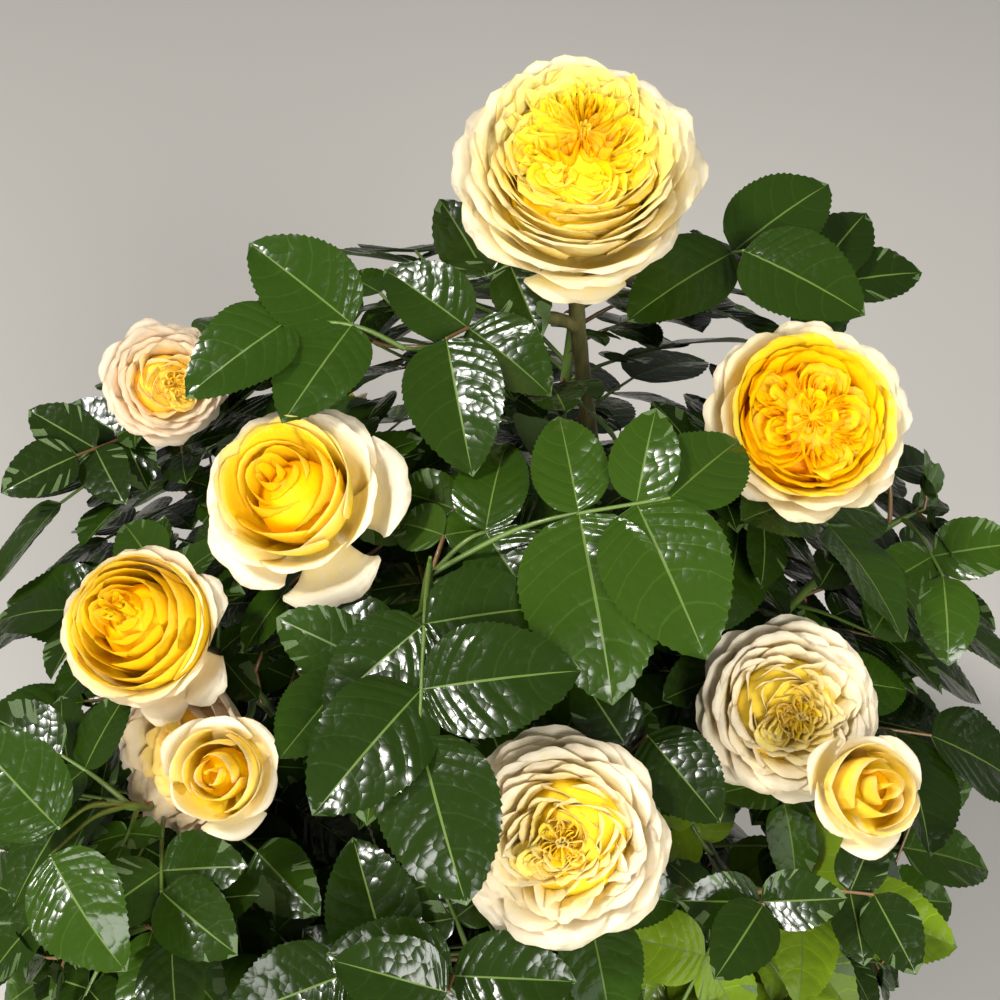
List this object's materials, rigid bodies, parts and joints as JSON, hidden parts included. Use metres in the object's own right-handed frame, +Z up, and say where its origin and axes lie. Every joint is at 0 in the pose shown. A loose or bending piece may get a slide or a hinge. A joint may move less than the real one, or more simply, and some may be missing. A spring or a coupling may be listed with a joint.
{
  "type": "rose bush",
  "caption": "Rose bush rooted in the ground: a short woody stem, arching canes and glossy leaves under full yellow to cream blooms.",
  "frame": {"origin": "middle of the flat cut under the main stem, at ground level", "axes": "+Z up, -Y towards the side that the blooms face, +X to the right seen from there"},
  "size_m": [0.5525, 0.5093, 0.7174],
  "materials": {
    "bark": "rough brown bark",
    "cane": "satin green bark with a reddish tinge and prickles",
    "foliage": "glossy green leaves with yellow to cream blooms"
  },
  "bodies": {
    "root": {"main_stem": "bark", "cane_top": "cane", "cane_right": "cane", "cane_centre_left": "cane", "cane_front": "cane", "cane_left": "cane", "cane_back": "cane", "cane_centre": "cane", "cane_top_left": "cane", "cane_top_right": "cane", "cane_far_left": "cane", "cane_front_left": "cane", "cane_right_front": "cane", "cane_far_right": "cane", "cane_back_left": "cane", "cane_back_right": "cane", "cane_front_low": "cane", "cane_low_right": "cane", "cane_low_left": "cane", "cane_skirt_front": "cane", "cane_skirt_right": "cane", "cane_skirt_left": "cane", "cane_skirt_back": "cane", "cane_skirt_back_right": "cane", "foliage_top": "foliage", "foliage_right": "foliage", "foliage_centre_left": "foliage", "foliage_front": "foliage", "foliage_left": "foliage", "foliage_back": "foliage", "foliage_centre": "foliage", "foliage_top_left": "foliage", "foliage_top_right": "foliage", "foliage_far_left": "foliage", "foliage_front_left": "foliage", "foliage_right_front": "foliage", "foliage_far_right": "foliage", "foliage_back_left": "foliage", "foliage_back_right": "foliage", "foliage_front_low": "foliage", "foliage_low_right": "foliage", "foliage_low_left": "foliage", "foliage_skirt_front": "foliage", "foliage_skirt_right": "foliage", "foliage_skirt_left": "foliage", "foliage_skirt_back": "foliage", "foliage_skirt_back_right": "foliage"}
  },
  "joints": []
}
